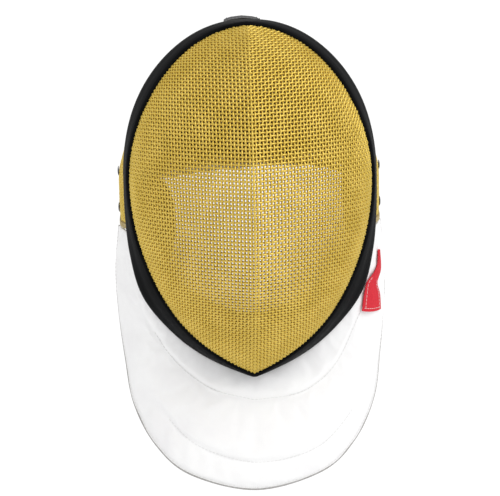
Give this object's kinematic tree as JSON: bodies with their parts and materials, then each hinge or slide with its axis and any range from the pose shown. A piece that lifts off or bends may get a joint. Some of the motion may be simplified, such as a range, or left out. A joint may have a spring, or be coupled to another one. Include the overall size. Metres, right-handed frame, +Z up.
{
  "type": "fencing mask",
  "caption": "Fencing mask with a domed woven-wire face and crown, a covered rim, a padded white bib, and inside padding, a sprung tongue and a back strap.",
  "frame": {"origin": "the head seat: the point on the mask's middle plane, just under the crown's padding, where the top of a wearer's head stops", "axes": "-Y is the way the face looks, +X is to the right of someone facing the mask, +Z is up"},
  "size_m": [0.2246, 0.2448, 0.3787],
  "materials": {
    "gold_wire": "gold-painted woven steel wire",
    "black_vinyl": "satin vinyl",
    "white_cloth": "close-woven protective cloth, padded",
    "red_cloth": "plain woven cloth",
    "dark_padding": "brushed cloth over foam",
    "tan_tape": "woven binding tape",
    "black_plastic": "satin covered spring strip",
    "pale_elastic": "ribbed elastic webbing",
    "dark_metal": "satin black"
  },
  "bodies": {
    "root": {"face_mesh": "gold_wire", "crown_mesh": "gold_wire", "rim_trim": "black_vinyl", "crown_edge_tape": "tan_tape", "bib": "white_cloth", "bib_patch": "red_cloth", "crown_pad": "dark_padding", "ear_pad_left": "dark_padding", "ear_pad_right": "dark_padding", "chin_pad": "dark_padding", "tongue": "black_plastic", "back_strap": "pale_elastic", "rivet_left_upper": "dark_metal", "rivet_left_lower": "dark_metal", "rivet_right_upper": "dark_metal", "rivet_right_lower": "dark_metal"}
  },
  "joints": []
}
